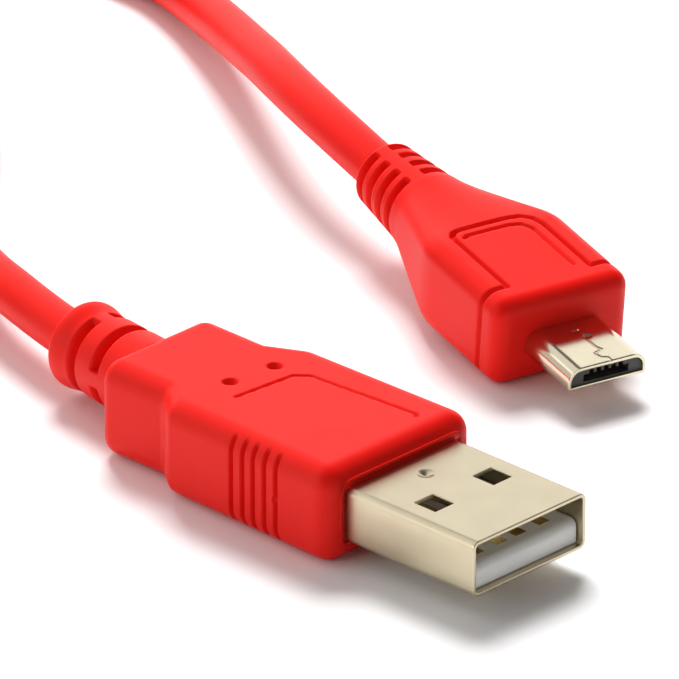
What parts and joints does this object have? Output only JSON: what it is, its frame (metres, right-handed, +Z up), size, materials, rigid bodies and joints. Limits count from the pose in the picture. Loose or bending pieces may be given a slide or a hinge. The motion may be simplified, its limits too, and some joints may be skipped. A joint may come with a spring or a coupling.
{
  "type": "cable assembly",
  "caption": "Data and charging cable with a moulded USB-A plug, a moulded micro-B plug with sprung latches and contacts, and a tied coil of cable.",
  "frame": {"origin": "middle of the flat underside of the USB-A grip, on the surface that it lies on", "axes": "+X is the way the USB-A plug goes into its socket, +Z is up from the surface"},
  "size_m": [0.1324, 0.079, 0.0091],
  "materials": {
    "red_pvc": "soft satin moulded vinyl",
    "nickel_steel": "bright nickel plate on pressed steel",
    "tinned_steel": "dull tin plate",
    "clear_polyethylene": "milky, translucent",
    "white_insulator": "satin moulded thermoplastic",
    "dark_insulator": "dull moulded liquid crystal polymer",
    "gold_contact": "gold flash on copper alloy",
    "solder": "bright solder",
    "spring_steel": "nickel plate on spring steel",
    "wire_red": "smooth wire insulation",
    "wire_white": "smooth wire insulation",
    "wire_green": "smooth wire insulation",
    "wire_black": "smooth wire insulation",
    "tie_black": "woven hook-and-loop tape"
  },
  "bodies": {
    "cable_assembly": {"a_overmould": "red_pvc", "a_shell": "nickel_steel", "a_back_shell": "tinned_steel", "a_inner_mould": "clear_polyethylene", "a_insulator": "white_insulator", "a_contacts": "gold_contact", "a_solder": "solder", "a_wire_red": "wire_red", "a_wire_white": "wire_white", "a_wire_green": "wire_green", "a_wire_black": "wire_black", "a_cable_end": "red_pvc", "m_overmould": "red_pvc", "m_shell": "nickel_steel", "m_back_shell": "tinned_steel", "m_inner_mould": "clear_polyethylene", "m_insulator": "dark_insulator", "m_contact_tails": "gold_contact", "m_solder": "solder", "m_wire_red": "wire_red", "m_wire_white": "wire_white", "m_wire_green": "wire_green", "m_wire_black": "wire_black", "m_cable_end": "red_pvc", "cable_run_a": "red_pvc", "cable_coil": "red_pvc", "cable_run_m": "red_pvc", "cable_tie": "tie_black"},
    "m_contact_springs": {"m_contact_springs": "gold_contact"},
    "m_latch_left": {"m_latch_left": "spring_steel"},
    "m_latch_right": {"m_latch_right": "spring_steel"}
  },
  "joints": [
    {"name": "m_contacts_bend", "type": "hinge", "parent": "cable_assembly", "child": "m_contact_springs", "pos_m": [0.0006, 0.02901, 0.004], "axis": [-0.2588, -0.9659, 0], "range_deg": [0, 1.7], "stiffness_Nm_per_rad": 0.02},
    {"name": "m_latch_left_bend", "type": "hinge", "parent": "cable_assembly", "child": "m_latch_left", "pos_m": [0.00201, 0.03148, 0.00321], "axis": [-0.2588, -0.9659, 0], "range_deg": [0, 5], "stiffness_Nm_per_rad": 0.04},
    {"name": "m_latch_right_bend", "type": "hinge", "parent": "cable_assembly", "child": "m_latch_right", "pos_m": [0.00059, 0.02617, 0.00321], "axis": [-0.2588, -0.9659, 0], "range_deg": [0, 5], "stiffness_Nm_per_rad": 0.04}
  ]
}
